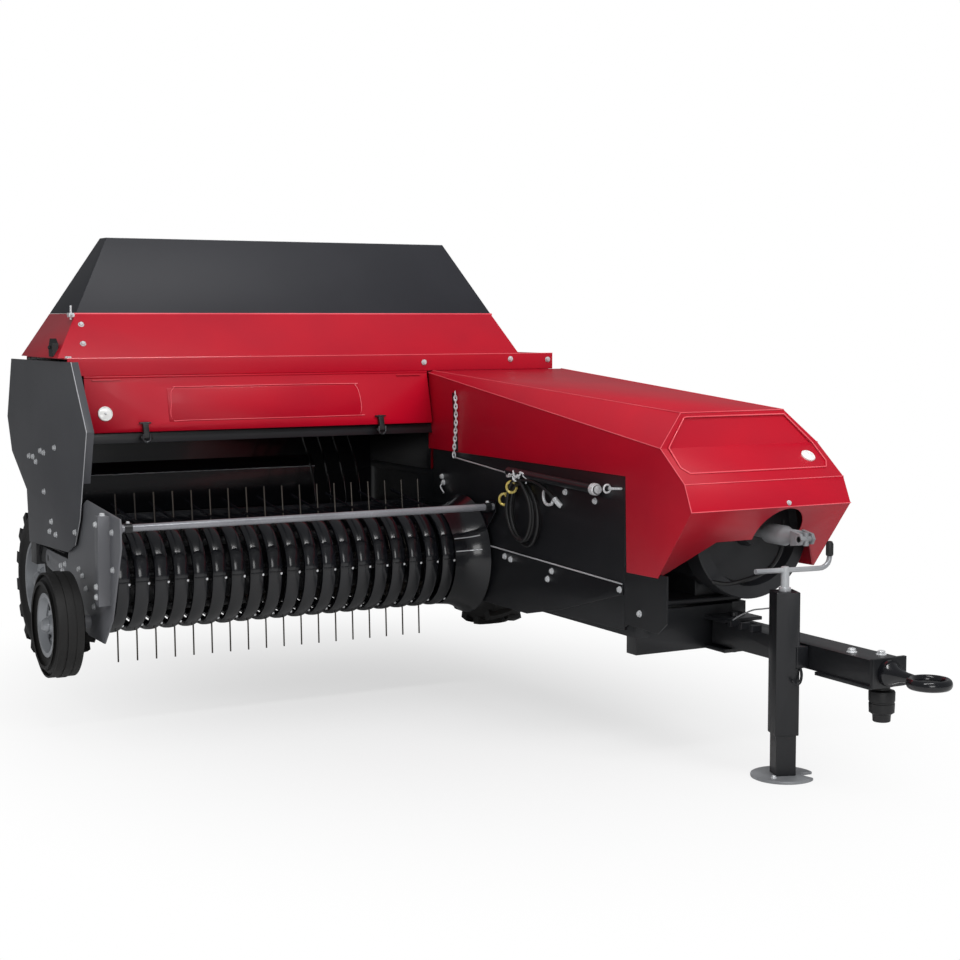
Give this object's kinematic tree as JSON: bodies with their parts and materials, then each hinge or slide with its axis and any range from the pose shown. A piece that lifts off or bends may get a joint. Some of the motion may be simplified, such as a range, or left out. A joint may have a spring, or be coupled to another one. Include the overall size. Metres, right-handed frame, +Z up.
{
  "type": "small square baler",
  "caption": "Trailed small square baler with a raised side pickup, bale chamber, flywheel cowl, hood, swinging drawbar and jack.",
  "frame": {"origin": "on the ground, in the middle of the outer box", "axes": "+Z up, the machine travels towards -Y, +X is its left side"},
  "size_m": [2.62, 5.109, 1.815],
  "materials": {
    "red_paint": "gloss",
    "black_paint": "satin",
    "grey_paint": "satin",
    "tyre_rubber": "matte",
    "rim_silver": "satin",
    "bright_steel": "brushed",
    "dark_iron": "cast",
    "black_rubber": "matte"
  },
  "bodies": {
    "machine": {"bale_chamber": "black_paint", "main_rails": "black_paint", "axle_beam": "black_paint", "cross_frame": "black_paint", "feed_house": "black_paint", "end_plate_right": "grey_paint", "deck": "red_paint", "drive_housing": "red_paint", "hood_skirt": "red_paint", "hood_top": "black_paint", "door_sill": "black_paint", "flywheel_cowl": "red_paint", "side_panel": "black_paint", "crop_deflector": "black_paint", "side_tube": "black_paint", "gearbox": "dark_iron", "knotter_stack": "dark_iron", "needle_yoke": "black_paint", "bale_tension": "black_paint", "twine_box": "red_paint"},
    "wheel_right": {"wheel_right_tyre": "tyre_rubber", "wheel_right_rim": "rim_silver"},
    "wheel_left": {"wheel_left_tyre": "tyre_rubber", "wheel_left_rim": "rim_silver"},
    "pickup": {"stripper_bands": "black_paint", "pickup_right_plate": "black_paint", "pickup_left_end": "black_paint"},
    "gauge_wheel": {"gauge_tyre": "tyre_rubber", "gauge_rim": "rim_silver"},
    "reel": {"tine_reel": "bright_steel"},
    "guard": {"wind_guard": "black_paint"},
    "front_door": {"door": "red_paint", "door_latch_right": "black_rubber", "door_latch_left": "black_rubber"},
    "driveline": {"flywheel": "dark_iron", "input_shaft": "bright_steel"},
    "lid": {"twine_lid": "red_paint"},
    "chute": {"bale_chute": "black_paint"},
    "towing": {"drawbar": "black_paint", "towing_eye": "dark_iron", "parked_socket": "black_rubber", "jack_tube": "black_paint", "jack_crank": "dark_iron"},
    "stand": {"jack_leg": "black_paint"}
  },
  "joints": [
    {"name": "wheel_right_spin", "type": "hinge", "parent": "machine", "child": "wheel_right", "pos_m": [-0.875, 1.27, 0.335], "axis": [1, 0, 0], "continuous": true},
    {"name": "wheel_left_spin", "type": "hinge", "parent": "machine", "child": "wheel_left", "pos_m": [1.2, 1.06, 0.335], "axis": [1, 0, 0], "continuous": true},
    {"name": "pickup_lift", "type": "hinge", "parent": "machine", "child": "pickup", "pos_m": [0, 0.45, 0.55], "axis": [1, 0, 0], "range_deg": [0, 19.5]},
    {"name": "gauge_wheel_spin", "type": "hinge", "parent": "pickup", "child": "gauge_wheel", "pos_m": [-1.2525, -0.12, 0.384], "axis": [1, 0, 0], "continuous": true},
    {"name": "reel_spin", "type": "hinge", "parent": "pickup", "child": "reel", "pos_m": [0, -0.23, 0.553], "axis": [1, 0, 0], "continuous": true},
    {"name": "wind_guard_tilt", "type": "hinge", "parent": "pickup", "child": "guard", "pos_m": [0, -0.485, 0.765], "axis": [1, 0, 0], "range_deg": [-3, 25]},
    {"name": "door_swing", "type": "hinge", "parent": "machine", "child": "front_door", "pos_m": [0, 0.099, 1.2727], "axis": [-1, 0, 0], "range_deg": [0, 75]},
    {"name": "driveline_spin", "type": "hinge", "parent": "machine", "child": "driveline", "pos_m": [0.785, -1.525, 0.765], "axis": [0, 1, 0], "continuous": true},
    {"name": "twine_lid_open", "type": "hinge", "parent": "machine", "child": "lid", "pos_m": [0, 0.698, 1.2203], "axis": [1, 0, 0], "range_deg": [0, 75]},
    {"name": "bale_chute_fold", "type": "hinge", "parent": "machine", "child": "chute", "pos_m": [0.622, 2.085, 0.475], "axis": [1, 0, 0], "range_deg": [0, 90]},
    {"name": "drawbar_swing", "type": "hinge", "parent": "machine", "child": "towing", "pos_m": [0.757, -1.5, 0.44], "axis": [0, 0, 1], "range_deg": [-10, 10]},
    {"name": "jack_slide", "type": "slide", "parent": "towing", "child": "stand", "axis": [0, 0, 1], "range_m": [0, 0.125]}
  ]
}
